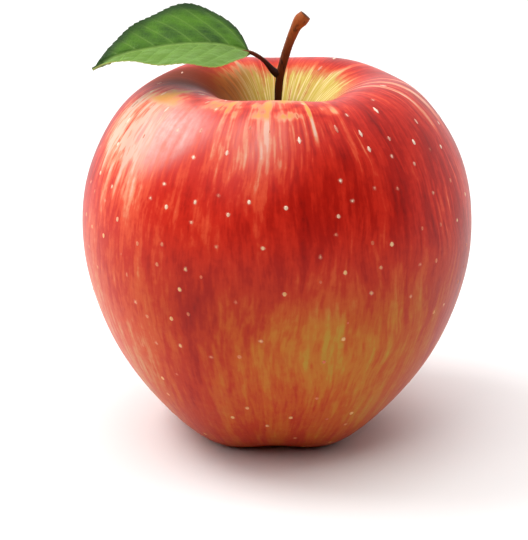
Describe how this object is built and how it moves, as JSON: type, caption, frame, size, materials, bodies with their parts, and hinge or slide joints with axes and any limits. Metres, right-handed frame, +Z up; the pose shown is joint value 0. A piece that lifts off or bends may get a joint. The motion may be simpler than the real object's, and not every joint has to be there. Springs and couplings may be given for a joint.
{
  "type": "apple",
  "caption": "Round red-striped dessert apple with its woody stem, a green leaf on its stalk and the dried calyx below, standing on the lobes around its calyx basin.",
  "frame": {"origin": "on the surface that the apple stands on, under the middle of the fruit", "axes": "+Z up along the core, from the calyx to the stem; -Y is the front; the leaf reaches out towards -X"},
  "size_m": [0.0785, 0.078, 0.0864],
  "materials": {
    "apple_skin": "smooth waxy skin, red stripes over yellow-green",
    "stem_bark": "dry brown bark",
    "stalk_bark": "satin green-brown bark",
    "leaf_green": "satin green leaf with raised veins",
    "dried_calyx": "dry, brown, slightly woolly"
  },
  "bodies": {
    "root": {"fruit": "apple_skin", "stem": "stem_bark", "leaf_stalk": "stalk_bark", "leaf_blade": "leaf_green", "stamen_tuft": "dried_calyx", "sepal_1": "dried_calyx", "sepal_2": "dried_calyx", "sepal_3": "dried_calyx", "sepal_4": "dried_calyx", "sepal_5": "dried_calyx"}
  },
  "joints": []
}
